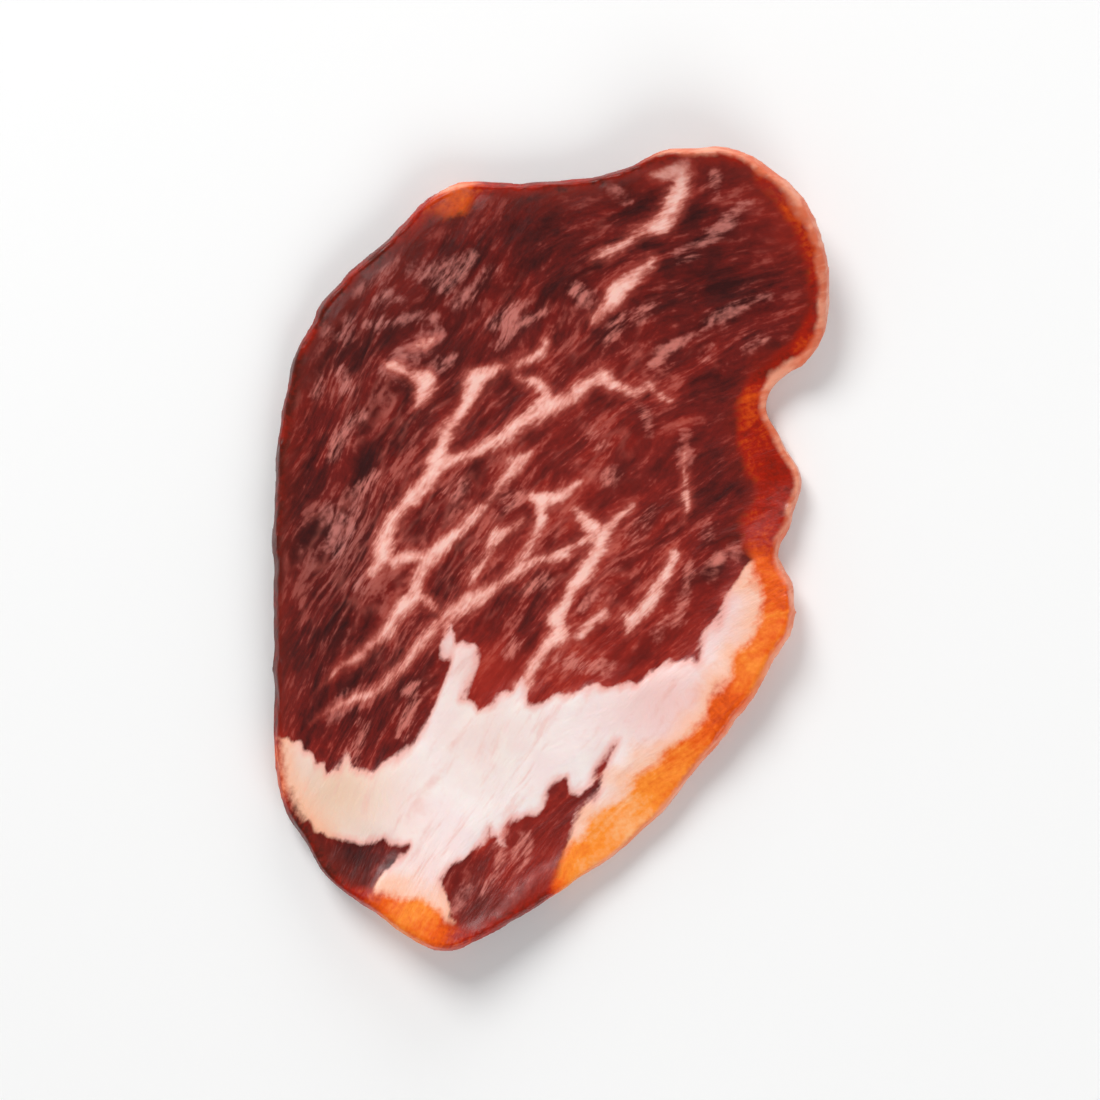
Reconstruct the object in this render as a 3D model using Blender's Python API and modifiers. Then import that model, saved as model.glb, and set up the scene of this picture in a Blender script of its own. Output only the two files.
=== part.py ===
"""One slice of cured Iberian pork presa, lying down with its cut face up.

The slice is one solid. It is drawn as a flat sheet of quads inside the slice's outline, bent where the real
slice curls off the table, and given its thickness by Solidify and its soft edge by Bevel. White fat and the
paprika-stained rind stand a little proud of the lean, so the thickness is weighted by a vertex group.
The origin is at the middle of the bottom of the slice's box: +Y is its length and +Z is up.
"""

import math

import bpy
import numpy as np
from mathutils import Vector, noise

MM = 0.001

NAME = "presa_slice"

# The slice's own sizes, in metres, and the corners that are rounded, which are sharper than this in degrees.
WIDTH = 51.9 * MM
LENGTH = 74.7 * MM
LEAN_THICK = 1.55 * MM
FAT_THICK = 1.90 * MM
EDGE_ROUND = 0.42 * MM
EDGE_CORNER = 50.0
RAGGED = 0.35 * MM
RAGGED_SPAN = 3.2 * MM
RIND_WIDE = 3.3 * MM
RIND_THIN = 0.9 * MM

# The sheet starts as a square from -1 to 1, with this many cells a side, twice its rings from middle to rim.
SQUARE = 2.0
CELLS = 44
CURVE_STEPS = 16
EDGE_STEPS = 2

# Where the sheet's rings are centred, level with the upper lobe's notch so that every ray meets the rim once.
MIDDLE = np.array((-0.5, 6.0)) * MM

# The cut outline in millimetres, anticlockwise from the right edge between the two notches.
OUTLINE = (
    (23.5, 6.4),
    (21.7, 10.0),
    (20.2, 13.6),
    (21.6, 16.2),
    (24.6, 18.2),
    (25.9, 23.0),
    (24.8, 29.6),
    (20.6, 35.2),
    (13.0, 37.3),
    (5.0, 34.9),
    (-2.0, 34.2),
    (-9.6, 33.8),
    (-15.6, 28.6),
    (-21.0, 23.4),
    (-24.8, 14.6),
    (-25.9, 3.0),
    (-25.9, -10.0),
    (-25.9, -18.6),
    (-25.2, -23.4),
    (-23.2, -27.2),
    (-19.8, -31.6),
    (-15.2, -34.8),
    (-10.4, -37.4),
    (-4.8, -35.4),
    (2.2, -31.2),
    (7.5, -27.5),
    (14.6, -19.4),
    (20.2, -11.9),
    (23.0, -4.4),
    (21.4, -0.4),
    (22.6, 2.7),
)

# The white fat's outline in millimetres, clockwise from the left rim. It runs on past the slice's own edge.
FAT_OUTLINE = (
    (-28.0, -17.0),
    (-24.4, -17.4),
    (-20.7, -20.5),
    (-16.2, -21.0),
    (-13.8, -19.6),
    (-12.0, -17.2),
    (-10.6, -14.0),
    (-9.4, -10.4),
    (-9.8, -7.2),
    (-7.0, -9.3),
    (-7.4, -13.9),
    (0.2, -13.0),
    (8.4, -12.1),
    (13.2, -10.5),
    (16.1, -6.0),
    (19.0, -0.4),
    (21.6, 0.4),
    (25.0, -2.0),
    (24.0, -12.0),
    (8.0, -32.0),
    (2.0, -31.0),
    (1.6, -27.4),
    (5.9, -18.0),
    (1.0, -21.9),
    (-6.6, -26.2),
    (-9.8, -31.6),
    (-9.0, -34.4),
    (-12.0, -39.0),
    (-18.8, -35.0),
    (-14.0, -27.2),
    (-20.2, -26.4),
    (-28.0, -24.0),
)
FAT_SHOULDER = 0.8 * MM

# Where the rind is wide: the direction from MIDDLE and half the sector, in degrees.
RIND_AIM = -52.0
RIND_SECTOR = 34.0
RIND_FADE = 14.0

# Stretches that curl off the table: direction in degrees, where the curl starts and where it reaches its
# height, both along that direction in millimetres, and the height in millimetres.
CURLS = (
    (55.0, 15.0, 39.0, 4.3),
    (-24.0, 13.0, 25.0, 2.6),
    (-106.0, 20.0, 37.0, 2.2),
    (178.0, 16.0, 27.0, 1.5),
    (118.0, 21.0, 36.0, 1.6),
)
RIPPLE = 0.9 * MM
RIPPLE_COUNT = 5
RIPPLE_PHASE = 0.6
RIPPLE_START = 0.62

# How much lift the slice's own weight presses out, which leaves its middle exactly flat.
SETTLE = 0.06 * MM

# The three materials, each with a name, a linear colour and a roughness.
FINISHES = (
    ("lean", (0.125, 0.018, 0.014), 0.42),
    ("fat", (0.79, 0.56, 0.45), 0.50),
    ("rind", (0.75, 0.16, 0.025), 0.46),
)
LEAN, FAT, RIND = range(3)


def clear_scene():
    for obj in list(bpy.data.objects):
        bpy.data.objects.remove(obj)


def ease(values):
    """From 0 to 1 with level ends, for values clamped to that range."""
    t = np.clip(values, 0.0, 1.0)
    return t * t * (3.0 - 2.0 * t)


def smooth_outline():
    """Points along the cut edge, dense and in order, from a closed Bezier curve through OUTLINE."""
    curve = bpy.data.curves.new("outline", "CURVE")
    curve.resolution_u = CURVE_STEPS
    spline = curve.splines.new("BEZIER")
    spline.bezier_points.add(len(OUTLINE) - 1)
    spline.use_cyclic_u = True
    for point, (x, y) in zip(spline.bezier_points, OUTLINE):
        point.co = (x * MM, y * MM, 0.0)
        point.handle_left_type = point.handle_right_type = "AUTO"
    guide = bpy.data.objects.new("outline", curve)
    bpy.context.collection.objects.link(guide)
    graph = bpy.context.evaluated_depsgraph_get()
    points = np.array([v.co[:2] for v in guide.evaluated_get(graph).to_mesh().vertices])
    bpy.data.objects.remove(guide)
    bpy.data.curves.remove(curve)
    return points


def rim_at(turns, points):
    """The rim's points at these shares of the way round it, by length, with the knife's raggedness."""
    loop = np.vstack([points, points[:1]])
    way = np.concatenate([[0.0], np.cumsum(np.linalg.norm(np.diff(loop, axis=0), axis=1))])
    at = (turns % 1.0) * way[-1]
    rim = np.stack([np.interp(at, way, loop[:, axis]) for axis in range(2)], axis=1)
    rough = np.array([noise.noise(Vector((x, y, 0.0)) / RAGGED_SPAN) for x, y in rim])
    out = rim - MIDDLE
    reach = np.linalg.norm(out, axis=1)
    return rim + out * (RAGGED * rough / reach)[:, None]


def fat_depth(x, y):
    """How far inside the fat's outline each point lies, negative outside it."""
    corners = np.array(FAT_OUTLINE) * MM
    gap = np.full(len(x), np.inf)
    inside = np.zeros(len(x), bool)
    for (x0, y0), (x1, y1) in zip(corners, np.roll(corners, -1, axis=0)):
        along_x, along_y = x1 - x0, y1 - y0
        share = ((x - x0) * along_x + (y - y0) * along_y) / (along_x**2 + along_y**2)
        share = np.clip(share, 0.0, 1.0)
        gap = np.minimum(gap, np.hypot(x - x0 - share * along_x, y - y0 - share * along_y))
        if along_y:
            beside = (y0 > y) != (y1 > y)
            inside ^= beside & (x < x0 + (y - y0) * along_x / along_y)
    return np.where(inside, gap, -gap)


def rind_depth(x, y, from_rim):
    """How far inside the rind each point lies: it is wide low on the right and a thin line elsewhere."""
    bearing = np.degrees(np.arctan2(y - MIDDLE[1], x - MIDDLE[0]))
    away = np.abs((bearing - RIND_AIM + 180.0) % 360.0 - 180.0)
    wide = ease((RIND_SECTOR + RIND_FADE - away) / RIND_FADE)
    return RIND_THIN + (RIND_WIDE - RIND_THIN) * wide - from_rim


def lift(x, y, reach, turns):
    """Height of the underside: level in the middle, curled and rippled towards the rim."""
    height = np.zeros(len(x))
    for degrees, start, end, top in CURLS:
        angle = math.radians(degrees)
        along = x * math.cos(angle) + y * math.sin(angle)
        share = np.clip((along - start * MM) / ((end - start) * MM), 0.0, None)
        height += top * MM * share**2
    wave = 0.5 + 0.5 * np.sin(math.tau * (RIPPLE_COUNT * turns + RIPPLE_PHASE))
    near_rim = np.clip((reach - RIPPLE_START) / (1.0 - RIPPLE_START), 0.0, 1.0)
    return np.maximum(height + RIPPLE * wave * near_rim**2 - SETTLE, 0.0)


def material(name, colour, roughness):
    made = bpy.data.materials.new(name)
    made.use_nodes = True
    made.diffuse_color = (*colour, 1.0)
    shader = made.node_tree.nodes["Principled BSDF"]
    shader.inputs["Base Color"].default_value = (*colour, 1.0)
    shader.inputs["Roughness"].default_value = roughness
    shader.inputs["Metallic"].default_value = 0.0
    return made


def flat_sheet():
    """A sheet of quads drawn out to the outline, with each point's place, share of the way out from the middle,
    turn round it, and distance from the rim."""
    bpy.ops.mesh.primitive_grid_add(x_subdivisions=CELLS, y_subdivisions=CELLS, size=SQUARE)
    sheet = bpy.context.object
    sheet.name = sheet.data.name = NAME
    square = np.empty(len(sheet.data.vertices) * 3)
    sheet.data.vertices.foreach_get("co", square)
    u, v = square.reshape(-1, 3)[:, :2].T
    disc_x = u * np.sqrt(1.0 - v * v / 2.0)
    disc_y = v * np.sqrt(1.0 - u * u / 2.0)
    reach = np.hypot(disc_x, disc_y)
    turns = np.arctan2(disc_y, disc_x) / math.tau
    rim = rim_at(turns, smooth_outline())
    flat = MIDDLE + (rim - MIDDLE) * reach[:, None]
    from_rim = np.linalg.norm(rim - MIDDLE, axis=1) * (1.0 - reach)
    return sheet, flat, reach, turns, from_rim


def fit_to_box(flat):
    """The sheet centred on the origin and stretched to the slice's stated width and length."""
    low, high = flat.min(axis=0), flat.max(axis=0)
    return (flat - (low + high) / 2.0) * (np.array((WIDTH, LENGTH)) / (high - low))


def paint(sheet, fat, rind):
    """Each face's material, from the depth of its corners in the fat and the rind."""
    for finish in FINISHES:
        sheet.data.materials.append(material(*finish))
    for face in sheet.data.polygons:
        corners = list(face.vertices)
        if rind[corners].mean() > 0.0:
            face.material_index = RIND
        elif fat[corners].mean() > 0.0:
            face.material_index = FAT
        else:
            face.material_index = LEAN


def thicken(sheet, proud):
    """Thickness from the underside up, full where the fat and the rind stand proud, and a soft edge."""
    group = sheet.vertex_groups.new(name="proud")
    for index, weight in enumerate(proud):
        group.add([index], float(weight), "REPLACE")
    solid = sheet.modifiers.new("thickness", "SOLIDIFY")
    solid.thickness = FAT_THICK
    solid.offset = 1.0
    solid.vertex_group = group.name
    solid.thickness_vertex_group = LEAN_THICK / FAT_THICK
    solid.material_offset_rim = RIND
    soft = sheet.modifiers.new("soft_edge", "BEVEL")
    soft.width = EDGE_ROUND
    soft.segments = EDGE_STEPS
    soft.limit_method = "ANGLE"
    soft.angle_limit = math.radians(EDGE_CORNER)


def make_slice():
    sheet, flat, reach, turns, from_rim = flat_sheet()
    flat = fit_to_box(flat)
    x, y = flat.T
    fat = fat_depth(x, y)
    rind = rind_depth(x, y, from_rim)
    height = lift(x, y, reach, turns)
    sheet.data.vertices.foreach_set("co", np.stack([x, y, height], axis=1).ravel())
    sheet.data.update()
    paint(sheet, fat, rind)
    thicken(sheet, ease(0.5 + np.maximum(fat, rind) / (2.0 * FAT_SHOULDER)))
    sheet.data.shade_smooth()
    return sheet


def main():
    clear_scene()
    home = bpy.data.collections.new("cured_presa")
    bpy.context.scene.collection.children.link(home)
    made = make_slice()
    for collection in list(made.users_collection):
        collection.objects.unlink(made)
    home.objects.link(made)


main()
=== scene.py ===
"""The looks of one slice of cured pork presa, seen from straight above on a pale floor."""

import math
from types import SimpleNamespace

import bpy
import numpy as np
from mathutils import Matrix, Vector, kdtree, noise


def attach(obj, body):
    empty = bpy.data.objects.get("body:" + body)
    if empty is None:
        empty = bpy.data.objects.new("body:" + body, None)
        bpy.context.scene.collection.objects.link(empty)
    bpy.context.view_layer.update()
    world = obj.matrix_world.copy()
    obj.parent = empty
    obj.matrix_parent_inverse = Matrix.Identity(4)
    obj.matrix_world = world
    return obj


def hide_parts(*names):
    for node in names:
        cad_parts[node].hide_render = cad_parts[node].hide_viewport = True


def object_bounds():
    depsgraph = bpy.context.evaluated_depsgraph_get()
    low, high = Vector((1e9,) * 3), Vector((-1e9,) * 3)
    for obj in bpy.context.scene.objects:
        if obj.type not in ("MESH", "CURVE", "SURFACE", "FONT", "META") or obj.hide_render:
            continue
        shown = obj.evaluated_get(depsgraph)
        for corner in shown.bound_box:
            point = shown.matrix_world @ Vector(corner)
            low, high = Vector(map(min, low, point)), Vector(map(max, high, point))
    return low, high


MM = 0.001

# How near points have to be to be merged.
MERGE_GAP = 0.001 * MM

# Spacing of the finished mesh, and how much of the remesher's stepping is smoothed out.
MESH_STEP = 0.275 * MM
SMOOTH_SHARE = 0.5
SMOOTH_PASSES = 4

# The white fat's outline in millimetres, clockwise from the left rim. It runs on past the slice's own edge.
FAT_OUTLINE = (
    (-28.0, -17.0),
    (-24.4, -17.4),
    (-22.8, -18.4),
    (-21.6, -19.6),
    (-20.5, -20.9),
    (-19.7, -20.5),
    (-19.0, -18.6),
    (-18.2, -20.2),
    (-17.2, -20.6),
    (-15.8, -20.2),
    (-14.2, -19.3),
    (-12.6, -17.6),
    (-11.4, -15.8),
    (-10.4, -13.6),
    (-9.5, -11.0),
    (-9.8, -8.6),
    (-9.2, -7.0),
    (-8.7, -8.4),
    (-6.8, -8.9),
    (-7.0, -10.5),
    (-7.5, -12.4),
    (-7.8, -13.9),
    (-6.6, -14.6),
    (-5.4, -14.3),
    (-4.6, -13.2),
    (-3.6, -13.0),
    (-2.7, -12.0),
    (-2.3, -13.6),
    (-1.7, -14.6),
    (-0.9, -13.9),
    (1.4, -13.4),
    (3.0, -13.1),
    (4.0, -12.2),
    (4.8, -12.7),
    (8.0, -12.5),
    (8.9, -11.8),
    (9.8, -10.9),
    (11.0, -10.4),
    (13.6, -10.2),
    (14.0, -8.8),
    (14.4, -7.6),
    (15.6, -6.6),
    (16.4, -5.2),
    (17.0, -3.6),
    (18.2, -1.7),
    (19.4, -0.8),
    (20.2, 0.2),
    (22.6, 0.4),
    (26.0, -2.0),
    (24.0, -12.0),
    (8.0, -32.0),
    (2.0, -31.0),
    (1.5, -28.4),
    (1.7, -27.0),
    (2.6, -24.7),
    (4.3, -22.3),
    (5.2, -20.4),
    (6.1, -17.9),
    (4.5, -20.4),
    (3.7, -22.0),
    (2.2, -22.8),
    (1.2, -21.5),
    (0.3, -22.2),
    (-0.8, -23.9),
    (-2.0, -24.7),
    (-3.3, -25.0),
    (-4.0, -26.0),
    (-4.2, -27.6),
    (-5.2, -27.8),
    (-5.6, -25.9),
    (-6.2, -27.2),
    (-7.4, -28.4),
    (-9.4, -29.4),
    (-10.1, -30.6),
    (-9.8, -32.4),
    (-9.0, -34.4),
    (-12.0, -39.0),
    (-18.6, -36.0),
    (-16.4, -32.4),
    (-15.8, -30.8),
    (-14.6, -29.2),
    (-13.3, -27.6),
    (-15.2, -27.3),
    (-17.4, -27.4),
    (-20.2, -26.8),
    (-22.0, -25.8),
    (-24.4, -24.6),
    (-28.0, -23.6),
)

# Marbling that can be followed by eye, as chains of discs in millimetres: x, y and radius, which is below
# zero where a vein tapers off.
BRIGHT_VEINS = (
    (
        (-15.6, 17.6, -0.1),
        (-14.5, 17.1, 0.42),
        (-13.3, 16.4, 0.35),
        (-11.7, 15.7, 0.8),
        (-12.1, 14.4, 0.5),
        (-12.6, 13.2, -0.1),
    ),
    ((-13.0, 18.8, -0.1), (-11.8, 19.4, 0.4), (-10.6, 19.9, 0.0)),
    (
        (-4.6, 17.0, 0.3),
        (-5.4, 16.4, 0.5),
        (-7.0, 15.9, 0.7),
        (-7.5, 14.8, 0.65),
        (-8.0, 13.4, 0.4),
        (-8.9, 11.9, 0.5),
        (-9.8, 10.4, 0.5),
        (-10.4, 8.9, 0.8),
        (-10.9, 7.5, 0.7),
        (-12.0, 6.0, 0.5),
        (-13.2, 4.6, 0.5),
        (-14.5, 3.1, 0.5),
        (-15.3, 1.4, 0.65),
        (-15.6, -0.6, 0.85),
        (-16.6, -2.0, 0.3),
    ),
    (
        (-10.4, 8.2, 0.75),
        (-9.0, 8.5, 0.5),
        (-7.4, 8.9, 0.35),
        (-5.6, 9.9, 0.45),
        (-4.4, 10.5, 0.4),
        (-3.0, 11.5, 0.4),
        (-1.5, 12.5, 0.65),
        (0.2, 13.7, 0.9),
        (2.0, 14.3, 0.55),
        (3.4, 15.4, 0.5),
        (4.8, 16.3, 0.6),
        (5.6, 15.5, 0.35),
        (6.6, 15.1, 0.4),
        (8.0, 14.4, 0.35),
        (9.2, 15.3, 0.3),
        (10.4, 14.4, 0.35),
        (11.2, 14.0, 0.15),
    ),
    ((-2.8, 16.0, 0.3), (-1.4, 15.5, 0.45), (-0.2, 14.8, 0.45)),
    ((-5.2, 16.5, 0.3), (-3.6, 17.0, 0.25), (-2.2, 17.7, 0.45), (-0.8, 18.4, 0.3), (-0.2, 19.4, 0.2)),
    (
        (-15.8, -0.9, 0.6),
        (-14.0, -1.0, 0.45),
        (-12.4, -0.6, 0.4),
        (-11.2, -0.4, 0.6),
        (-9.8, 0.6, 0.5),
        (-8.4, 1.8, 0.35),
        (-6.9, 3.4, 0.45),
        (-5.6, 4.8, 0.2),
        (-4.4, 6.5, 0.35),
        (-3.0, 8.0, 0.4),
        (-1.8, 9.2, 0.15),
    ),
    ((-11.2, -0.5, 0.55), (-12.0, -2.0, 0.4), (-12.5, -3.6, 0.4), (-12.2, -4.4, 0.6)),
    (
        (-7.6, -3.4, 0.15),
        (-6.4, -1.2, 0.35),
        (-5.6, 0.2, 0.3),
        (-4.9, 1.1, 0.6),
        (-3.8, 1.9, 0.35),
        (-2.6, 2.7, 0.2),
    ),
    ((-1.4, 4.8, 0.4), (-0.5, 4.5, 0.7), (0.8, 4.9, 0.45), (2.0, 5.8, 0.35), (2.8, 6.4, 0.15)),
    ((-0.5, 4.0, 0.45), (-0.9, 2.6, 0.35), (-1.5, 1.2, 0.3), (-2.1, 0.2, 0.35), (-2.6, -1.2, 0.5)),
    (
        (-22.4, -16.0, -0.3),
        (-19.8, -14.7, 0.2),
        (-17.6, -13.6, 0.35),
        (-15.9, -12.9, 0.4),
        (-14.6, -11.7, 0.45),
        (-13.2, -10.2, 0.45),
        (-12.0, -8.7, 0.5),
        (-10.6, -7.1, 0.55),
        (-9.0, -5.8, 0.7),
        (-7.6, -4.9, 0.65),
        (-5.8, -3.8, 0.45),
        (-4.2, -2.6, 0.5),
        (-2.7, -1.4, 0.7),
        (-1.4, -1.0, 0.35),
        (0.4, -0.8, 0.4),
        (1.6, -0.4, 0.3),
    ),
    (
        (-22.0, -13.2, -0.3),
        (-20.2, -11.6, 0.1),
        (-18.4, -10.3, 0.3),
        (-17.0, -9.0, 0.35),
        (-15.5, -7.8, 0.4),
        (-14.4, -6.5, 0.4),
        (-13.3, -5.0, 0.55),
        (-12.2, -4.2, 0.6),
        (-11.2, -4.8, 0.4),
        (-10.2, -5.8, 0.4),
    ),
    ((-9.2, -6.0, 0.45), (-9.5, -7.6, 0.4), (-9.2, -9.0, 0.5)),
    ((2.6, 3.4, 0.3), (3.4, 2.3, 0.55), (4.4, 1.7, 0.7)),
    (
        (7.6, 4.0, 0.2),
        (6.2, 2.9, 0.35),
        (5.2, 2.0, 0.55),
        (4.6, 0.8, 0.55),
        (3.9, -0.8, 0.5),
        (3.0, -2.5, 0.6),
        (1.9, -3.8, 0.35),
        (1.2, -5.0, 0.35),
        (0.5, -6.4, 0.6),
        (0.9, -7.6, 0.7),
        (-0.2, -8.8, 0.45),
        (-1.3, -10.3, 0.4),
        (-1.9, -11.9, 0.4),
        (-3.0, -13.0, 0.5),
    ),
    ((4.2, 1.6, 0.5), (2.6, 0.8, 0.35), (1.4, -0.2, 0.3), (0.2, -0.7, 0.35)),
    ((5.2, -6.1, 0.35), (4.0, -6.8, 0.35), (2.8, -8.0, 0.25)),
    (
        (11.6, -0.4, 0.15),
        (10.6, -2.7, 0.3),
        (9.4, -4.4, 0.5),
        (8.5, -5.7, 0.45),
        (7.4, -6.8, 0.6),
        (7.1, -7.6, 0.2),
    ),
    (
        (12.4, 36.4, 0.4),
        (12.1, 34.8, 0.6),
        (12.0, 33.0, 0.7),
        (11.4, 31.6, 0.7),
        (10.2, 30.3, 0.7),
        (8.6, 29.4, 0.5),
    ),
    ((8.6, 29.4, 0.5), (6.9, 28.7, 0.35), (5.1, 27.5, 0.3), (4.0, 27.0, 0.15)),
    ((9.6, 34.7, 0.2), (11.0, 34.9, 0.4), (12.1, 35.3, 0.5)),
    (
        (9.6, 27.0, 0.25),
        (8.1, 25.8, 0.45),
        (6.9, 24.6, 0.65),
        (6.0, 23.5, 0.75),
        (5.2, 22.5, 0.6),
        (4.2, 21.6, 0.4),
    ),
    (
        (12.6, 12.4, -0.3),
        (12.7, 10.2, 0.0),
        (12.5, 8.0, 0.05),
        (12.8, 6.2, 0.1),
        (12.7, 4.4, 0.3),
        (12.5, 2.6, -0.2),
    ),
)

# Marbling that only just shows, in the same way. On dark lean its tone also holds a painted lavender sheen.
FAINT_VEINS = (
    ((-14.0, 18.2, 0.6), (-14.8, 17.1, 0.8), (-13.4, 16.3, 0.7), (-12.0, 16.0, 0.6)),
    ((-11.4, 16.2, 0.6), (-10.2, 16.9, 0.5), (-9.0, 17.8, 0.3)),
    ((-13.2, 18.5, 0.4), (-11.8, 19.4, 0.7), (-10.6, 19.9, 0.4)),
    ((-12.2, 26.0, 0.6), (-10.4, 25.3, 0.8), (-9.6, 24.7, 0.6)),
    ((-9.7, 25.0, 0.6), (-8.8, 26.2, 0.8), (-7.4, 27.2, 0.4)),
    ((-9.0, 22.6, 0.3), (-7.7, 23.5, 0.55), (-7.0, 24.6, 0.35), (-5.4, 26.2, 0.25)),
    ((-5.0, 20.9, 0.45), (-3.6, 22.0, 0.5), (-2.6, 22.9, 0.3)),
    ((-4.8, 19.2, 0.3), (-3.9, 20.4, 0.45), (-2.6, 21.2, 0.3), (-0.8, 22.0, 0.25)),
    ((-18.8, 21.6, 0.4), (-19.1, 19.9, 0.5)),
    ((-22.0, 20.8, 0.3), (-20.0, 20.2, 0.4)),
    ((-21.5, 16.6, 0.25), (-21.9, 14.8, 0.35)),
    ((-19.4, 16.6, 0.3), (-18.9, 15.0, 0.45)),
    ((-17.9, 12.4, 0.5), (-19.0, 11.0, 0.35), (-19.9, 10.3, 0.35), (-20.3, 8.8, 0.3)),
    ((-18.0, 24.0, 0.25), (-16.0, 25.0, 0.35), (-15.0, 25.9, 0.35), (-14.4, 26.8, 0.2)),
    ((-16.2, 23.1, 0.3), (-15.0, 23.6, 0.35), (-14.0, 23.2, 0.2)),
    ((-13.6, 21.2, 0.25), (-11.0, 21.7, 0.3)),
    ((-16.6, 21.0, 0.25), (-14.8, 21.2, 0.4)),
    ((-17.4, 5.6, 0.3), (-18.2, 3.8, 0.4)),
    ((-16.3, 7.2, 0.2), (-17.4, 5.6, 0.35)),
    ((-20.5, 3.6, 0.6), (-19.5, 1.8, 1.0), (-20.0, 0.0, 0.5)),
    ((-16.8, -2.2, 0.4), (-18.0, -3.2, 0.3)),
    ((-20.2, -15.2, 0.5), (-18.6, -14.0, 0.65), (-17.0, -13.3, 0.5)),
    ((-17.3, -16.2, 0.3), (-18.0, -18.0, 0.35)),
    ((-18.4, -18.2, 0.25), (-18.4, -19.8, 0.45)),
    ((-12.4, -13.8, 0.25), (-13.2, -15.4, 0.45), (-13.6, -17.2, 0.35)),
    ((-12.4, -12.4, 0.2), (-13.2, -13.2, 0.4)),
    ((5.6, 34.0, 0.3), (6.5, 32.9, 0.5)),
    ((8.1, 36.4, 0.35), (7.6, 35.6, 0.2)),
    ((15.2, 34.6, 0.35), (15.2, 33.4, 0.4)),
    ((2.2, 24.2, 0.4), (3.6, 23.4, 0.55)),
    ((9.4, 22.8, 0.2), (7.8, 21.6, 0.4), (5.8, 20.5, 0.35), (4.8, 19.6, 0.2)),
    ((18.2, 31.9, 0.2), (16.2, 30.5, 0.5), (14.6, 28.6, 0.3), (12.0, 27.2, 0.25)),
    ((20.2, 23.5, 0.2), (17.8, 22.6, 0.35), (16.2, 21.7, 0.4), (13.9, 20.3, 0.3), (12.4, 19.4, 0.15)),
    ((19.8, 19.5, 0.3), (18.6, 18.8, 0.45)),
    ((12.0, 19.0, 0.3), (10.8, 18.3, 0.5), (9.6, 17.6, 0.35)),
    ((15.0, 18.7, 0.2), (14.2, 18.0, 0.3)),
    ((12.6, 11.0, 0.4), (12.5, 8.2, 0.4)),
    ((8.5, 13.3, 0.3), (9.3, 10.8, 0.3)),
    ((4.1, 10.6, 0.3), (4.3, 9.8, 0.5)),
    ((6.2, 7.4, 0.3), (5.4, 6.6, 0.45)),
    ((-8.0, 5.9, 0.45), (-9.2, 5.2, 0.3)),
    ((-4.0, 4.4, 0.45), (-2.6, 5.2, 0.35)),
    ((9.6, 3.6, 0.2), (8.6, 2.4, 0.35), (7.4, 1.0, 0.25)),
    ((15.4, 2.4, 0.3), (14.8, 1.5, 0.45)),
    ((17.8, 0.6, 0.3), (17.3, -0.2, 0.4)),
    ((15.6, -0.7, 0.35), (15.0, -2.4, 0.4)),
    ((13.0, -1.8, 0.25), (12.4, -4.5, 0.4), (11.8, -6.8, 0.4)),
    ((10.8, -6.4, 0.3), (10.0, -7.6, 0.45)),
    ((4.4, -4.2, 0.25), (3.2, -5.6, 0.35)),
    ((-0.4, -2.8, 0.35), (-1.8, -3.6, 0.3)),
    ((-3.4, -8.6, 0.3), (-4.0, -9.6, 0.35)),
    ((-7.8, -31.4, 0.3), (-8.8, -33.2, 0.35)),
    ((0.8, -10.3, 0.4), (2.4, -10.7, 0.5), (3.8, -10.9, 0.3), (5.2, -11.0, 0.6), (6.2, -10.5, 0.3)),
    ((-4.6, -26.4, 0.5), (-4.6, -28.6, 0.45), (-4.9, -30.2, 0.3), (-6.2, -32.0, 0.2)),
    ((-2.4, -26.8, 0.4), (-2.6, -28.2, 0.7), (-2.7, -29.2, 0.3)),
)

# What a drawn radius is multiplied by and then loses, so that thick veins swell and thin ones stay thin.
VEIN_GAIN = 1.35
VEIN_LOSS = 0.15

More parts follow.
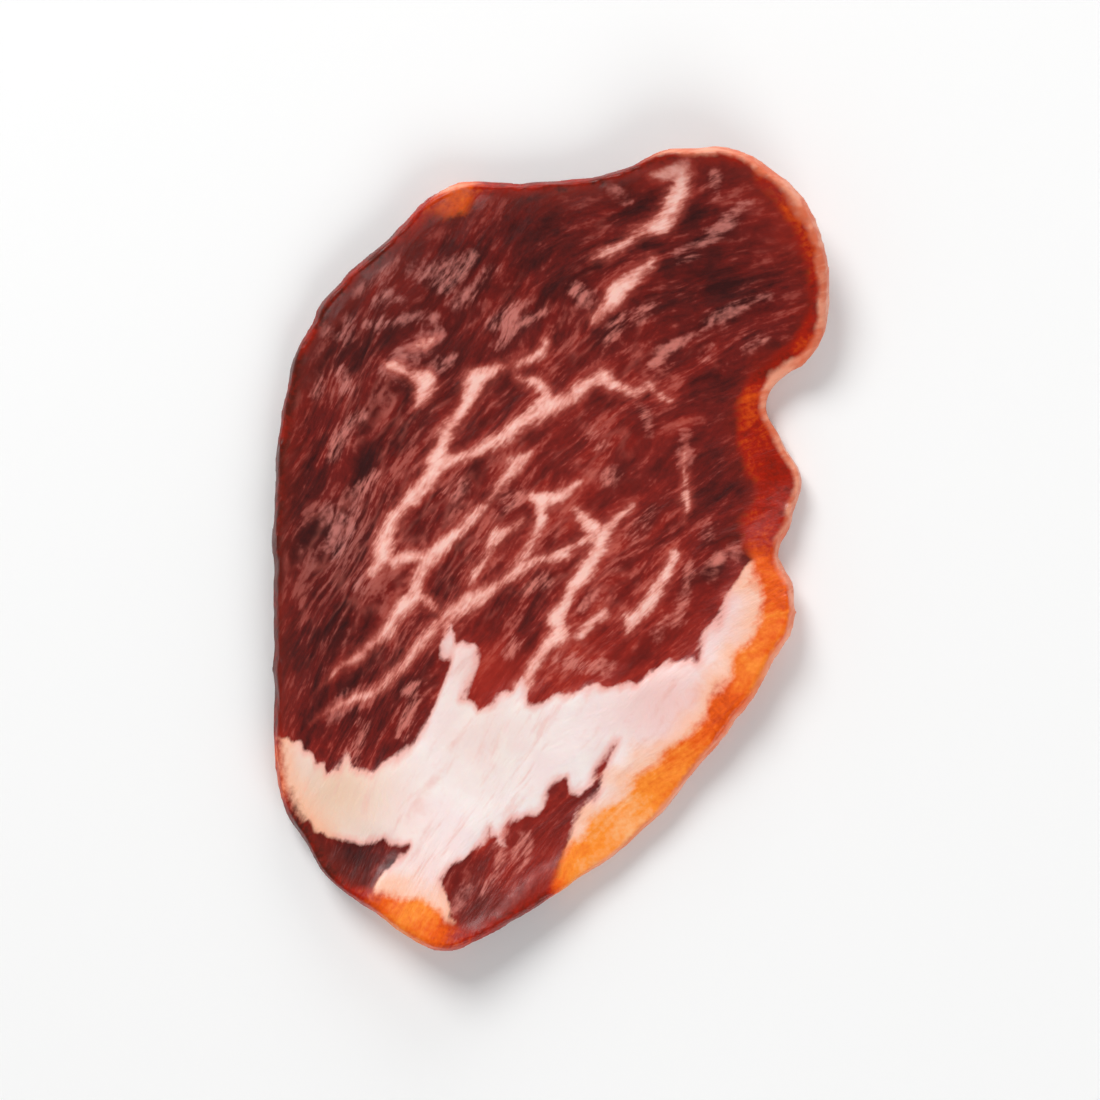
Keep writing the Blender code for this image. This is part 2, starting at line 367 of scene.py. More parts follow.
# The rim from bearing to bearing, in degrees anticlockwise from +X: how wide the stained rind is in
# millimetres, its tint, as a place on RIND_TINTS, and how wide the pale skin outside it is, which is below
# zero where there is none.
RIM_STATIONS = (
    (-180.0, 0.5, 3.9, -0.6),
    (-160.0, 0.5, 3.9, -0.6),
    (-148.0, 0.6, 3.7, -0.6),
    (-144.0, 0.5, 2.7, -0.5),
    (-137.5, 0.5, 2.5, -0.5),
    (-135.5, 0.8, 3.6, -0.6),
    (-130.0, 1.0, 3.9, -0.6),
    (-121.0, 0.9, 3.8, -0.6),
    (-117.0, 1.4, 2.4, -0.6),
    (-112.0, 3.4, 1.3, -0.6),
    (-107.0, 3.2, 1.7, -0.6),
    (-102.0, 1.3, 3.3, -0.6),
    (-92.0, 0.9, 3.5, -0.5),
    (-88.0, 1.8, 1.6, -0.2),
    (-82.0, 3.6, 0.8, 0.2),
    (-76.0, 3.8, 0.7, 0.3),
    (-68.0, 3.5, 1.0, 0.3),
    (-61.0, 2.8, 1.4, 0.3),
    (-52.0, 2.4, 1.8, 0.3),
    (-44.0, 2.9, 2.0, 0.3),
    (-38.0, 3.2, 2.0, 0.4),
    (-30.0, 3.1, 1.4, 0.4),
    (-22.0, 3.1, 1.6, 0.5),
    (-13.0, 3.1, 2.0, 0.5),
    (-7.0, 2.5, 2.1, 0.5),
    (-3.0, 2.0, 2.5, 0.4),
    (1.0, 3.2, 3.0, 0.4),
    (8.0, 3.8, 3.1, 0.6),
    (24.0, 4.0, 3.1, 0.7),
    (33.0, 3.2, 3.1, 0.6),
    (37.0, 2.6, 2.9, 0.8),
    (40.0, 2.0, 3.3, 0.9),
    (48.0, 1.8, 3.3, 0.9),
    (52.0, 2.4, 2.9, 1.1),
    (55.0, 2.6, 2.7, 1.4),
    (58.0, 1.8, 2.9, 1.1),
    (62.0, 1.3, 3.2, 0.8),
    (70.0, 1.0, 3.4, 0.5),
    (76.0, 0.9, 3.5, 0.0),
    (82.0, 0.8, 3.6, -0.6),
    (99.0, 0.9, 3.4, -0.6),
    (102.0, 1.6, 2.7, 0.1),
    (104.0, 2.5, 2.1, 0.5),
    (106.5, 2.3, 2.3, 0.4),
    (110.0, 1.2, 3.1, -0.4),
    (118.0, 1.0, 3.7, -0.6),
    (130.0, 1.0, 3.6, -0.6),
    (150.0, 0.9, 3.9, -0.6),
    (180.0, 0.5, 3.9, -0.6),
)

# The rind by tint, from 0 to 4: cream, light and deep orange, red and brown.
RIND_TINTS = ("F6B680", "F88E2E", "E65A0A", "A61A02", "54160A")

# Soft patches on the lean in millimetres: x, y, radius and strength. First where it is darker, then where it
# is warmer.
DARK_PATCHES = (
    (-14.0, 22.0, 14.0, 0.9),
    (2.0, 31.0, 9.0, 0.7),
    (15.0, 27.0, 9.0, 0.7),
    (16.5, 9.0, 6.0, 0.5),
    (0.5, -25.5, 2.5, 0.7),
    (-8.0, -31.5, 3.0, 0.8),
    (-21.0, 0.0, 8.0, 0.9),
    (-20.0, -10.0, 7.0, 0.7),
    (-19.0, -29.5, 5.0, 1.5),
)
WARM_PATCHES = (
    (-5.0, -12.0, 4.0, 1.4),
    (4.0, -11.0, 5.0, 1.0),
    (12.0, -8.0, 5.0, 0.7),
    (-2.0, -28.0, 6.0, 0.8),
    (2.0, 6.0, 12.0, 0.35),
    (22.5, 31.0, 4.0, 0.7),
    (-15.0, 26.0, 4.0, 0.5),
)

# Where strokes of marbling lie close.
MARBLED_PATCHES = (
    (-9.0, 3.0, 11.0, 1.0),
    (0.0, -1.0, 9.0, 0.8),
    (-14.0, -9.0, 7.0, 0.8),
    (-18.0, 16.0, 8.0, 0.6),
    (-19.0, 0.0, 6.0, 1.6),
    (5.0, 17.0, 7.0, 0.5),
    (3.0, 9.0, 6.0, 0.6),
    (-8.0, -30.0, 3.0, 0.4),
)

# Where the white fat is pinker, and where it is the colour of cream.
PINK_PATCHES = (
    (11.0, -14.0, 6.0, 1.1),
    (16.0, -6.0, 5.0, 1.0),
    (-12.0, -30.0, 3.5, 0.6),
    (-8.0, -10.0, 3.0, 0.8),
)
CREAM_PATCHES = (
    (-20.0, -22.5, 6.0, 1.0),
    (-6.0, -17.0, 6.0, 0.25),
)

# The muscle's grain: its direction in degrees from +X, and how it fans and bends away from that, per
# millimetre. It drifts from its line by noise of this height, length and width in millimetres.
GRAIN_DEGREES = 47.0
GRAIN_FAN = -0.008
GRAIN_BEND = 0.006
GRAIN_DRIFT = ((1.8, 14.0, 5.0), (0.4, 4.0, 1.6))

# The lean from its deepest to its brightest red, and its cast in the dark and warm patches and by the rind.
LEAN_TONES = ("2E0A0A", "521310", "731A15", "92261D", "B4402F")
DARK_LEAN = "4C1814"
WARM_LEAN = "A6281A"
STAINED_LEAN = "8C200C"

# The drawn veins from their thin edge to their thick middle, and the flesh beside them.
VEIN_TONES = ("A8483C", "D07C6E", "EDA799", "F8C5B8")
VEIN_HALO = "AE4A3E"

# The finer marbling: the walls of the bundles, then strokes and faint veins, on bright and on dark lean.
BUNDLE_WALL = "BC6256"
STROKE_TONES = ("C66C5F", "98564E")
# The faint veins' tone on dark lean is lavender-pink: partly marbling and partly a painted sheen.
FAINT_VEIN_AND_SHEEN_TONES = ("D0796C", "BC746C")

# The fat where it is duller and clearer white, its pink and cream parts, streaks and edge, and by the rind.
WHITE_FAT = ("F4E1DF", "F8EDE9")
PINK_FAT = "EDBFB8"
CREAM_FAT = "E7C3A9"
FAT_STREAK = "E9B4AA"
FAT_EDGE = "EBA093"
STAINED_FAT = "F6B590"

# The thin pale skin outside the rind, redder and paler.
SKIN_TONES = ("D9714F", "F0A283")

# How deep in each tissue, in millimetres, its colour starts and is full.
VEIN_BORDER = (-0.36, 0.24)
VEIN_HALO_BORDER = (-0.9, 0.0)
FAINT_BORDER = (-0.60, 0.48)
FAT_BORDER = (-0.22, 0.26)
FAT_EDGE_BORDER = (0.0, 0.9)
BRIGHT_LEAN_BORDER = (-1.5, 0.1)
RIND_BORDER = (-0.6, 0.6)
STAIN_BORDER = (-2.6, 0.0)
SKIN_BORDER = (-0.25, 0.35)

# Scales of noise in each millimetre: along the grain, across it and down, and the same every way.
BROAD_STREAKS = (0.13, 0.75, 0.5)
MIDDLE_STREAKS = (0.42, 1.7, 1.0)
FINE_STREAKS = (1.5, 4.6, 2.0)
FIBRES = (1.1, 3.0, 2.0)
BUNDLES = (0.26, 0.80, 1.0)
BLOTCHES = 0.28
SPECKS = 2.2

# The bundles' walls: scale of their bends, how far these go along and across in millimetres, and half a
# wall's width as a share of a bundle.
BUNDLE_BENDS = 0.45
BUNDLE_SWAY = (1.3, 0.9, 0.0)
WALL_HALF = 0.32

# Depth of the fibres' relief.
FIBRE_DEPTH = 0.12 * MM

# Lean fingers that bite into the fat: their direction in degrees, and their reach, length and width in
# millimetres.
FINGER_DEGREES = 68.0
FINGER_REACH = 0.7
FINGER_LENGTH = 3.6
FINGER_WIDTH = 0.9

# How uneven the veins, the rim's bearings, the rind and the skin are: by how many millimetres, by how many
# degrees, and by what share twice, each with the size of the unevenness in millimetres.
VEIN_WANDER = (0.3, 2.6)
BEARING_WANDER = (2.5, 3.0)
RIND_WANDER = (0.25, 2.2)
SKIN_WANDER = (0.4, 1.8)

# Relief in millimetres: how high fat and veins stand and over what shoulder, then waves by height, length
# along the grain and width across it, which fade towards the rim.
FAT_SWELL = 0.07
VEIN_SWELL = 0.05
SWELL_SHOULDER = 0.35
WAVES = ((0.14, 8.0, 8.0), (0.06, 3.0, 3.0), (0.06, 4.0, 1.0))
WAVE_FADE = 1.5

# The rind's crust by height and size, how far in it reaches, and how high above the floor it is in full.
CRUST = ((0.08, 1.6), (0.03, 0.8))
CRUST_REACH = 2.5
CRUST_RISE = 0.8

# Faces whose normal rises more than this belong to the cut face, and the rest to the side and the underside.
TOP_FACING = 0.35

# Seen from straight above, with the slice filling most of the frame.
CAMERA_LENS = 135.0
CAMERA_SENSOR = 36.0
FRAME_FILL = 0.74

# The floor, in metres, just under the slice.
FLOOR_SIZE = 1.5
FLOOR_GAP = 0.01 * MM
FLOOR_COLOUR = "F8F8F7"

# Round soft lights in metres and watts: name, place, width and power. All aim at the origin.
LIGHTS = (
    ("key", (-0.30, 0.57, 0.55), 0.40, 4.8),
    ("fill", (0.30, -0.50, 0.45), 0.50, 2.2),
    ("low_back", (0.10, 0.65, 0.22), 0.35, 1.2),
)

# The studio's walls: white at the horizon and darker overhead, from how high up, and how bright.
HORIZON = (1.0, 1.0, 1.0)
OVERHEAD = (0.10, 0.10, 0.11)
OVERHEAD_FROM = 0.9
WALL_STRENGTH = 0.9


class Wire:
    """One socket of a material's tree. Python's operators on it add Math nodes."""

    def __init__(self, paint, socket):
        self.paint = paint
        self.socket = socket

    def __add__(self, other):
        return self.paint.math("ADD", self, other)

    __radd__ = __add__

    def __sub__(self, other):
        return self.paint.math("SUBTRACT", self, other)

    def __rsub__(self, other):
        return self.paint.math("SUBTRACT", other, self)

    def __mul__(self, other):
        return self.paint.math("MULTIPLY", self, other)

    __rmul__ = __mul__


class Paint:
    """A material while it is made: every node comes from add()."""

    def __init__(self, name):
        self.material = bpy.data.materials.new(name)
        self.material.use_nodes = True
        self.tree = self.material.node_tree
        self.tree.nodes.clear()

    def add(self, kind, settings=None, sockets=None, output=0):
        """A node of this kind: its settings, then its sockets' values or wires, and the output asked for."""
        node = self.tree.nodes.new(kind)
        for name, value in (settings or {}).items():
            if name == "stops":
                self.set_stops(node.color_ramp, value)
            else:
                setattr(node, name, value)
        for name, value in (sockets or {}).items():
            if isinstance(value, Wire):
                self.tree.links.new(value.socket, node.inputs[name])
            else:
                node.inputs[name].default_value = value
        return None if output is None else Wire(self, node.outputs[output])

    @staticmethod
    def set_stops(ramp, stops):
        while len(ramp.elements) < len(stops):
            ramp.elements.new(1.0)
        for element, (position, colour) in zip(ramp.elements, stops):
            element.position = position
            element.color = (*colour, 1.0)

    def math(self, operation, *values):
        return self.add("ShaderNodeMath", {"operation": operation}, dict(enumerate(values)))

    def smooth(self, value, low, high):
        """From 0 to 1 with level ends while value goes from low to high."""
        return self.add(
            "ShaderNodeMapRange",
            {"interpolation_type": "SMOOTHSTEP"},
            {"Value": value, "From Min": low, "From Max": high},
        )

    def mix(self, share, first, second):
        """Two colours mixed, as share goes from 0 to 1."""
        return self.add(
            "ShaderNodeMix",
            {"data_type": "RGBA"},
            {0: share, 6: colour_of(first), 7: colour_of(second)},
            output=2,
        )

    def vector(self, operation, first, second):
        return self.add("ShaderNodeVectorMath", {"operation": operation}, {0: first, 1: second})

    def scaled(self, vector, x, y, z):
        return self.vector("MULTIPLY", vector, (x, y, z))

    def attribute(self, name):
        return self.add("ShaderNodeAttribute", {"attribute_name": name}, output="Fac")

    def noise(self, vector, scale=1.0, detail=2.0, rough=0.5, output="Fac"):
        return self.add(
            "ShaderNodeTexNoise",
            None,
            {"Vector": vector, "Scale": scale, "Detail": detail, "Roughness": rough},
            output=output,
        )

    def cells(self, vector, feature, output, **sockets):
        """Voronoi cells of one unit, seen along Z."""
        settings = {"feature": feature, "voronoi_dimensions": "2D"}
        sockets = {"Vector": vector, "Scale": 1.0, **sockets}
        return self.add("ShaderNodeTexVoronoi", settings, sockets, output)

    def ramp(self, tones, place):
        """A colour from this scale of tones, as place goes from 0 to 1."""
        stops = tuple((index / (len(tones) - 1), linear(tone)) for index, tone in enumerate(tones))
        return self.add("ShaderNodeValToRGB", {"stops": stops}, {0: place})

    def bump(self, height, distance, strength):
        sockets = {"Height": height, "Distance": distance, "Strength": strength}
        return self.add("ShaderNodeBump", None, sockets)


def linear(hex_colour):
    """The linear red, green and blue of a colour as it looks on screen."""
    parts = [int(hex_colour[i : i + 2], 16) / 255.0 for i in (0, 2, 4)]
    return tuple(p / 12.92 if p <= 0.04045 else ((p + 0.055) / 1.055) ** 2.4 for p in parts)


def colour_of(value):
    """A wire as it is, and a hex colour as a socket's value."""
    return value if isinstance(value, Wire) else (*linear(value), 1.0)


def ease(values):
    """From 0 to 1 with level ends, for values clamped to that range."""
    t = np.clip(values, 0.0, 1.0)
    return t * t * (3.0 - 2.0 * t)


def deselect_all():
    bpy.ops.object.select_all(action="DESELECT")


def turned(x, y, degrees):
    """Coordinates along and across a direction."""
    c, s = math.cos(math.radians(degrees)), math.sin(math.radians(degrees))
    return x * c + y * s, y * c - x * s


def grain(x, y):
    """Millimetres along and across the muscle's grain, which fans and bends a little."""
    along, across = turned(x, y, GRAIN_DEGREES)
    return along, across * (1.0 + GRAIN_FAN * along) + GRAIN_BEND * along * along


def rough(x, y, z=0.0):
    """Blender's own noise, from -1 to 1, at each point."""
    return np.array([noise.noise(Vector(p)) for p in zip(*np.broadcast_arrays(x, y, z))])


def chain_depth(x, y, chain):
    """How far inside a chain of discs each point lies, in millimetres, negative outside it."""
    depth = np.full(len(x), -np.inf)
    for (x0, y0, r0), (x1, y1, r1) in zip(chain, chain[1:]):
        share = ((x - x0) * (x1 - x0) + (y - y0) * (y1 - y0)) / ((x1 - x0) ** 2 + (y1 - y0) ** 2)
        share = np.clip(share, 0.0, 1.0)
        gap = np.hypot(x - x0 - share * (x1 - x0), y - y0 - share * (y1 - y0))
        radius = r0 + share * (r1 - r0)
        depth = np.maximum(depth, radius * VEIN_GAIN - VEIN_LOSS - gap)
    return depth


def deepest(x, y, chains):
    return np.max([chain_depth(x, y, chain) for chain in chains], axis=0)


def outline_depth(x, y, outline):
    """How far inside a closed outline each point lies, in millimetres, negative outside it."""
    gap = np.full(len(x), np.inf)
    inside = np.zeros(len(x), bool)
    for (x0, y0), (x1, y1) in zip(outline, outline[1:] + outline[:1]):
        share = ((x - x0) * (x1 - x0) + (y - y0) * (y1 - y0)) / ((x1 - x0) ** 2 + (y1 - y0) ** 2)
        share = np.clip(share, 0.0, 1.0)
        gap = np.minimum(gap, np.hypot(x - x0 - share * (x1 - x0), y - y0 - share * (y1 - y0)))
        if y0 != y1:
            spans = (y0 > y) != (y1 > y)
            inside ^= spans & (x < x0 + (y - y0) * (x1 - x0) / (y1 - y0))
    return np.where(inside, gap, -gap)


def patches(x, y, spots):
    """The strongest of several soft round patches at each point."""
    fields = [
        power * np.exp(-(((x - px) ** 2 + (y - py) ** 2) / radius**2))
        for px, py, radius, power in spots
    ]
    return np.max(fields, axis=0)


def rim_distance(x, y, normals):
    """How far each point is from the slice's side, seen from above, in millimetres."""
    side = np.flatnonzero(np.abs(normals[:, 2]) < TOP_FACING)
    tree = kdtree.KDTree(len(side))
    for index in side:
        tree.insert((x[index], y[index], 0.0), index)
    tree.balance()
    return np.array([tree.find((px, py, 0.0))[2] for px, py in zip(x, y)])


def vectors(source, key):
    """This vector of every vertex, one to a row."""
    values = np.empty(len(source) * 3)
    source.foreach_get(key, values)
    return values.reshape(-1, 3)


def store(mesh, name, values):
    """Keeps one number a vertex as an attribute that the material reads."""
    mesh.attributes.new(name, "FLOAT", "POINT").data.foreach_set("value", values.astype(np.float32))


def remeshed_copy(node):
    """A copy of the CAD slice as one even skin of small quads."""
    deselect_all()
    piece = node.copy()
    piece.data = node.data.copy()
    piece.name = piece.data.name = "slice"
    # The copy is a piece of its own, so it gives up what the CAD node is marked with.
    for key in list(piece.keys()):
        del piece[key]
    piece.parent = None
    bpy.context.collection.objects.link(piece)
    bpy.context.view_layer.objects.active = piece
    piece.select_set(True)
    bpy.ops.object.mode_set(mode="EDIT")
    bpy.ops.mesh.select_all(action="SELECT")
    bpy.ops.mesh.remove_doubles(threshold=MERGE_GAP)
    bpy.ops.object.mode_set(mode="OBJECT")
    skin = piece.modifiers.new("even_skin", "REMESH")
    skin.mode = "VOXEL"
    skin.voxel_size = MESH_STEP
    bpy.ops.object.modifier_apply(modifier=skin.name)
    calm = piece.modifiers.new("calm", "SMOOTH")
    calm.factor = SMOOTH_SHARE
    calm.iterations = SMOOTH_PASSES
    bpy.ops.object.modifier_apply(modifier=calm.name)
    return piece


def dress(piece):
    """Marks where fat, veins, grain and rind are on the skin, and raises them."""
    mesh = piece.data
    points = vectors(mesh.vertices, "co")
    normals = vectors(mesh.vertex_normals, "vector")
    x, y, z = points.T / MM
    from_rim = rim_distance(x, y, normals)
    along, across = grain(x, y)
    across = across + sum(
        height * rough(along / length, across / width, 5.0) for height, length, width in GRAIN_DRIFT
    )
    finger_along, finger_across = turned(x, y, FINGER_DEGREES)
    fingers = FINGER_REACH * rough(finger_along / FINGER_LENGTH, finger_across / FINGER_WIDTH)
    sway, size = VEIN_WANDER
    wander_x = x + sway * rough(x / size, y / size)
    wander_y = y + sway * rough(y / size, x / size)

    sway, size = BEARING_WANDER
    bearing = np.degrees(np.arctan2(y, x)) + sway * rough(x / size, y / size, z / size)
    stations = np.array(RIM_STATIONS).T
    width, tint, skin = (np.interp(bearing, stations[0], values) for values in stations[1:])
    sway, size = RIND_WANDER
    width = width * (1.0 + sway * rough(x / size, y / size))
    sway, size = SKIN_WANDER
    skin = skin * (1.0 + sway * rough(x / size, y / size, 3.0))

    fields = {
        "along": along,
        "across": across,
        "fat": outline_depth(x, y, FAT_OUTLINE) + fingers,
        "vein": deepest(wander_x, wander_y, BRIGHT_VEINS),
        "faint": deepest(wander_x, wander_y, FAINT_VEINS),
        "rind": width - from_rim,
        "tint": tint,
        "skin": skin - from_rim,
        "dark": patches(x, y, DARK_PATCHES),
        "warm": patches(x, y, WARM_PATCHES),
        "marbled": patches(x, y, MARBLED_PATCHES),
        "pink": patches(x, y, PINK_PATCHES),
        "cream": patches(x, y, CREAM_PATCHES),
    }
    for name, values in fields.items():
        store(mesh, name, values)

    lift = FAT_SWELL * ease(0.5 + fields["fat"] / (2.0 * SWELL_SHOULDER))
    lift += VEIN_SWELL * ease(0.5 + fields["vein"] / (2.0 * SWELL_SHOULDER))
    for height, length, wide in WAVES:
        lift += height * rough(along / length, across / wide)
    lift *= ease((normals[:, 2] - TOP_FACING) / (1.0 - TOP_FACING)) * ease(from_rim / WAVE_FADE)
    crust = sum(height * rough(x / size, y / size, z / size) for height, size in CRUST)
    crust *= (1.0 - ease(from_rim / CRUST_REACH)) * ease(z / CRUST_RISE)
    moved = points + normals * ((lift + crust) * MM)[:, None]
    mesh.vertices.foreach_set("co", moved.ravel())
    mesh.update()
    mesh.shade_smooth()


def mottling(paint, place, flow):
    """Noise that all the tissues share, by the millimetre: streaks along the grain, blotches and specks."""
    return SimpleNamespace(
        broad=paint.noise(paint.scaled(flow, *BROAD_STREAKS)) - 0.5,
        middle=paint.noise(paint.scaled(flow, *MIDDLE_STREAKS)) - 0.5,
        fine=paint.noise(paint.scaled(flow, *FINE_STREAKS)) - 0.5,
        blotch=paint.noise(place, BLOTCHES, 3.0) - 0.5,
        speck=paint.noise(place, SPECKS, 3.0) - 0.5,
    )


def muscle_bundles(paint, place, flow):
    """The muscle's bundles, drawn out along the grain: each one's own tone, and how near its wall is."""
    bend = paint.scaled(paint.noise(place, BUNDLE_BENDS, output="Color"), *BUNDLE_SWAY)
    bundles = paint.scaled(paint.vector("ADD", flow, bend), *BUNDLES)
    tone = paint.cells(bundles, "SMOOTH_F1", "Color", Smoothness=0.5)
    tone = paint.add("ShaderNodeSeparateColor", None, {0: tone}) - 0.5
    wall = 1.0 - paint.smooth(paint.cells(bundles, "DISTANCE_TO_EDGE", "Distance"), 0.0, WALL_HALF)
    return tone, wall


def lean_colour(paint, mottle, bundle, halo):
    """One scale of reds that the streaks, the bundles, the patches and the nearness of fat move along."""
    dark = paint.attribute("dark")
    warm = paint.attribute("warm")
    streaks = mottle.broad * 1.0 + mottle.middle * 0.7 + mottle.fine * 0.35
    spots = mottle.blotch * 0.6 + mottle.speck * 0.25
    level = 0.45 + streaks + spots + bundle * 0.20 + warm * 0.16 + halo * 0.12 - dark * 0.17
    lean = paint.ramp(LEAN_TONES, level)
    lean = paint.mix(dark * 0.30, lean, DARK_LEAN)
    return paint.mix(warm * 0.42, lean, WARM_LEAN)


def feathering(mottle):
    """How far the veins' borders stray, in millimetres either way."""
    return mottle.middle * 0.9 + mottle.fine * 0.25 + mottle.speck * 0.4


def marbled_colour(paint, mottle, lean, wall, vein):
    """The lean with its bundle walls, strokes along the grain, faint veins and drawn veins."""
    dark = paint.attribute("dark")
    warm = paint.attribute("warm")
    marbled = paint.attribute("marbled")

    wall = wall * paint.smooth(marbled * 0.5 + mottle.blotch * 1.6 + mottle.middle, -0.05, 0.55)
    colour = paint.mix(wall * wall * 0.30, lean, BUNDLE_WALL)

    stroke = mottle.broad * 0.40 + mottle.middle * 0.60 + mottle.fine * 0.28 + mottle.speck * 0.15
    stroke = paint.smooth(stroke + marbled * 0.05 + mottle.blotch * 0.15, 0.05, 0.22)
    share = stroke * (marbled * 0.30 - warm * 0.25 + 0.36)
    colour = paint.mix(share, colour, paint.mix(dark, *STROKE_TONES))

    # Faint veins: on dark lean their lavender-pink tone is partly marbling and partly a painted sheen.
    faint = paint.attribute("faint") + feathering(mottle) * 1.9
    streaky = paint.smooth(mottle.middle + mottle.fine * 0.6, -0.24, 0.22) * 0.9
    share = paint.smooth(faint, *FAINT_BORDER) * streaky
    colour = paint.mix(share, colour, paint.mix(dark, *FAINT_VEIN_AND_SHEEN_TONES))

    colour = paint.mix(paint.smooth(vein, *VEIN_HALO_BORDER) * 0.42, colour, VEIN_HALO)
    thickness = vein * 0.85 + mottle.blotch * 0.9 + mottle.fine * 0.6 + mottle.middle * 0.4 + 0.30
    return paint.mix(paint.smooth(vein, *VEIN_BORDER), colour, paint.ramp(VEIN_TONES, thickness))


def fat_colour(paint, mottle, fat_depth):
    """White and cream, with faint streaks and a pinker edge."""
    pink = paint.attribute("pink")
    cream = paint.attribute("cream")
    streak = paint.smooth(mottle.broad + mottle.middle * 0.6 + mottle.speck * 0.2, 0.0, 0.30)
    white = paint.mix(paint.smooth(mottle.blotch, -0.15, 0.2), *WHITE_FAT)
    white = paint.mix(pink * 0.75, white, PINK_FAT)
    white = paint.mix(cream * 0.95, white, CREAM_FAT)
    white = paint.mix(streak * (0.45 + pink * 0.3), white, FAT_STREAK)
    return paint.mix((1.0 - paint.smooth(fat_depth, *FAT_EDGE_BORDER)) * 0.75, white, FAT_EDGE)


def with_rind(paint, mottle, body, rind_depth):
    """The rind over the body, with the pale skin outside it."""
    tint = paint.attribute("tint") + mottle.blotch * 1.7 + mottle.middle * 1.2 + mottle.speck * 1.2
    rind = paint.ramp(RIND_TINTS, tint * (1.0 / (len(RIND_TINTS) - 1)))
    body = paint.mix(paint.smooth(rind_depth, *RIND_BORDER), body, rind)
    skin = paint.smooth(paint.attribute("skin") + mottle.speck * 0.35, *SKIN_BORDER)
    skin_colour = paint.mix(paint.smooth(mottle.blotch + mottle.middle, -0.25, 0.25), *SKIN_TONES)
    return paint.mix(skin * 0.85, body, skin_colour)


def cured_pork():
    """Deep red lean with grain and marbling, white and cream fat and an orange rind, all moist."""
    paint = Paint("cured_pork")
    seen = paint.add("ShaderNodeTexCoord", output="Object")
    place = paint.scaled(seen, 1.0 / MM, 1.0 / MM, 1.0 / MM)
    z = paint.add("ShaderNodeSeparateXYZ", None, {0: place}, "Z")
    flow = {"X": paint.attribute("along"), "Y": paint.attribute("across"), "Z": z}
    flow = paint.add("ShaderNodeCombineXYZ", None, flow)
    mottle = mottling(paint, place, flow)

    # How deep each point is in a vein, the fat and the rind, in millimetres, with their borders feathered.
    vein = paint.attribute("vein") + feathering(mottle) + mottle.blotch * 1.0 + 0.04
    fat_depth = paint.attribute("fat") + mottle.middle * 0.5 + mottle.fine * 0.2 + mottle.speck * 0.35
    rind_depth = paint.attribute("rind") + mottle.speck * 0.8 + mottle.middle * 0.6

    bundle, wall = muscle_bundles(paint, place, flow)
    halo = paint.smooth(paint.math("MAXIMUM", vein, fat_depth), *BRIGHT_LEAN_BORDER)
    meat = marbled_colour(paint, mottle, lean_colour(paint, mottle, bundle, halo), wall, vein)
    stained = paint.smooth(rind_depth + mottle.blotch * 2.0, *STAIN_BORDER)
    meat = paint.mix(stained * 0.28, meat, STAINED_LEAN)
    white = paint.mix(stained * 0.80, fat_colour(paint, mottle, fat_depth), STAINED_FAT)
    body = paint.mix(paint.smooth(fat_depth, *FAT_BORDER), meat, white)
    body = with_rind(paint, mottle, body, rind_depth)

    # Relief too fine for the mesh.
    height = paint.noise(paint.scaled(flow, *FIBRES), detail=3.0, rough=0.55)
    wet = paint.smooth(mottle.blotch, -0.1, 0.15)
    shader = paint.add(
        "ShaderNodeBsdfPrincipled",
        {"subsurface_method": "RANDOM_WALK"},
        {
            "Base Color": body,
            "Roughness": 0.46 - wet * 0.10,
            "Normal": paint.bump(height, FIBRE_DEPTH, 0.5),
            "Coat Weight": wet * 0.2,
            "Coat Roughness": 0.16,
            "IOR": 1.40,
            "Specular IOR Level": 0.28,
            "Subsurface Weight": 0.12,
            "Subsurface Radius": (1.0, 0.32, 0.18),
            "Subsurface Scale": 0.45 * MM,
        },
    )
    paint.add("ShaderNodeOutputMaterial", None, {"Surface": shader}, None)
    return paint.material


def pale_floor():
    """Matt and near white."""
    made = bpy.data.materials.new("pale_floor")
    made.use_nodes = True
    shader = made.node_tree.nodes["Principled BSDF"]
    shader.inputs["Base Color"].default_value = colour_of(FLOOR_COLOUR)
    shader.inputs["Roughness"].default_value = 0.9
    shader.inputs["Specular IOR Level"].default_value = 0.1
    return made


def make_floor():
    deselect_all()
    bpy.ops.mesh.primitive_plane_add(size=FLOOR_SIZE, location=(0.0, 0.0, -FLOOR_GAP))
    floor = bpy.context.object
    floor.name = "floor"
    floor.data.materials.append(pale_floor())


def area_light(name, place, size, watts):
    """A round light at this place, aimed at the origin."""
    deselect_all()
    bpy.ops.object.light_add(type="AREA", location=place)
    light = bpy.context.object
    light.name = name
    light.data.shape = "DISK"
    light.data.size = size
    light.data.energy = watts
    light.rotation_euler = (-Vector(place)).to_track_quat("-Z", "Y").to_euler()


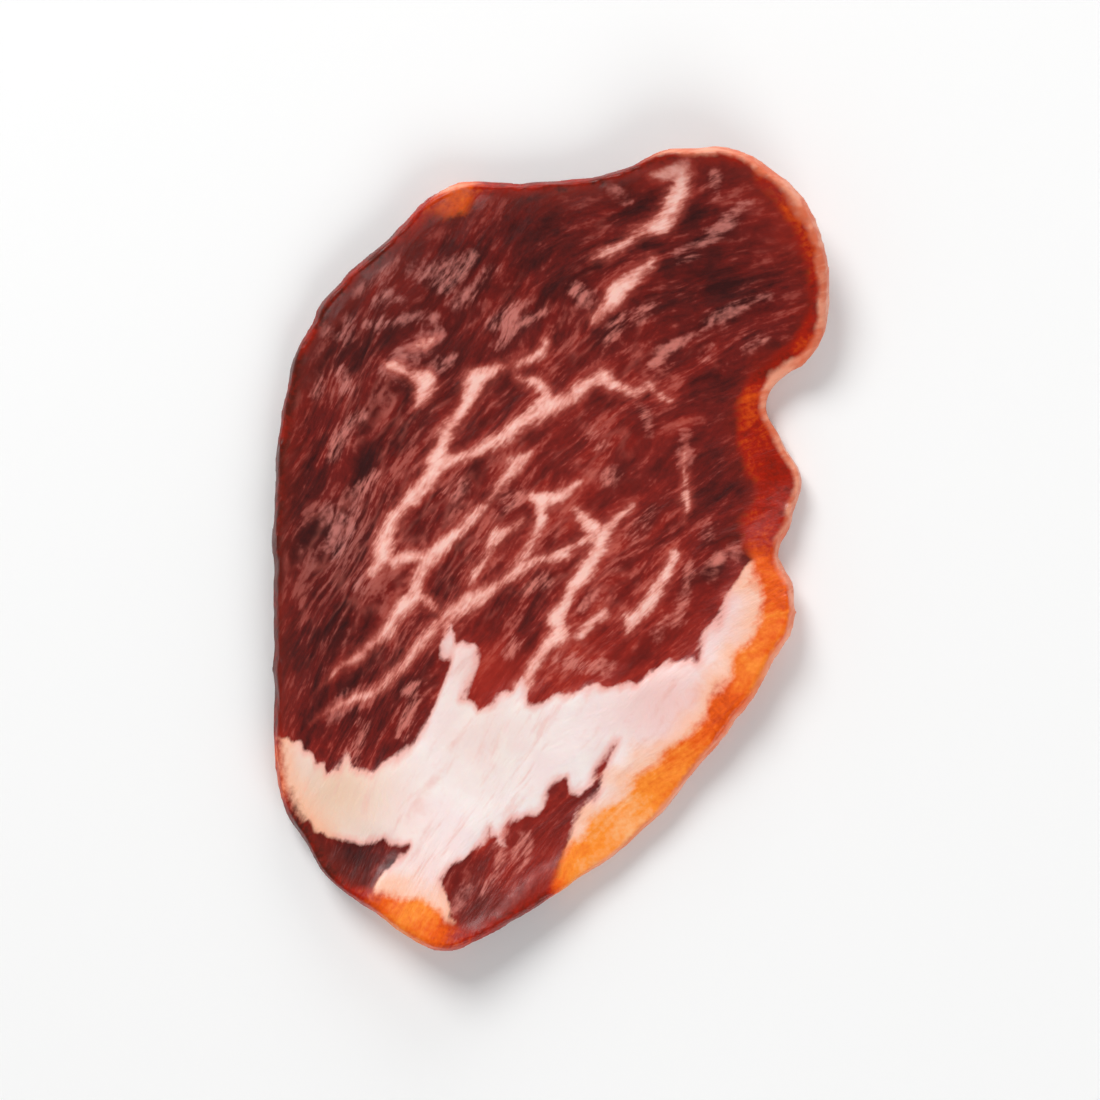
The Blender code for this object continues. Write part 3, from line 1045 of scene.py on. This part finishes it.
def studio_walls():
    """A world that is white round the horizon and darker overhead."""
    world = bpy.data.worlds.new("studio")
    bpy.context.scene.world = world
    world.use_nodes = True
    tree = world.node_tree
    tree.nodes.clear()
    coords = tree.nodes.new("ShaderNodeTexCoord")
    split = tree.nodes.new("ShaderNodeSeparateXYZ")
    ramp = tree.nodes.new("ShaderNodeValToRGB")
    sky = tree.nodes.new("ShaderNodeBackground")
    end = tree.nodes.new("ShaderNodeOutputWorld")
    Paint.set_stops(ramp.color_ramp, ((0.0, HORIZON), (OVERHEAD_FROM, OVERHEAD)))
    sky.inputs["Strength"].default_value = WALL_STRENGTH
    tree.links.new(coords.outputs["Generated"], split.inputs[0])
    tree.links.new(split.outputs["Z"], ramp.inputs["Fac"])
    tree.links.new(ramp.outputs["Color"], sky.inputs["Color"])
    tree.links.new(sky.outputs[0], end.inputs["Surface"])


def set_camera(low, high):
    """Straight above the slice, whose length fills FRAME_FILL of the frame."""
    middle = (low + high) / 2.0
    half_frame = (high.y - low.y) / FRAME_FILL / 2.0
    distance = half_frame * CAMERA_LENS / (CAMERA_SENSOR / 2.0)
    deselect_all()
    bpy.ops.object.camera_add(location=(middle.x, middle.y, high.z + distance))
    camera = bpy.context.object
    camera.data.lens = CAMERA_LENS
    camera.data.sensor_width = CAMERA_SENSOR
    camera.data.clip_start = 0.01
    bpy.context.scene.camera = camera
    bpy.context.scene.view_settings.view_transform = "Standard"


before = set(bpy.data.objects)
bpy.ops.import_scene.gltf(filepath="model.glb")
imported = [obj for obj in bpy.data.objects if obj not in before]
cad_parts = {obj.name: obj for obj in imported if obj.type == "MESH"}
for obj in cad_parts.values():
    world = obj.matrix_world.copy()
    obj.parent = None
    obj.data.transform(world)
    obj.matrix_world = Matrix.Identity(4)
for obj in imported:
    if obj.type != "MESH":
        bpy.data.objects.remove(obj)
cad_low, cad_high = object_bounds()
set_camera(cad_low, cad_high)
for light in LIGHTS:
    area_light(*light)
studio_walls()
make_floor()
pork = remeshed_copy(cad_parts["presa_slice"])
dress(pork)
pork.data.materials.clear()
pork.data.materials.append(cured_pork())
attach(pork, "root")
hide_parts("presa_slice")
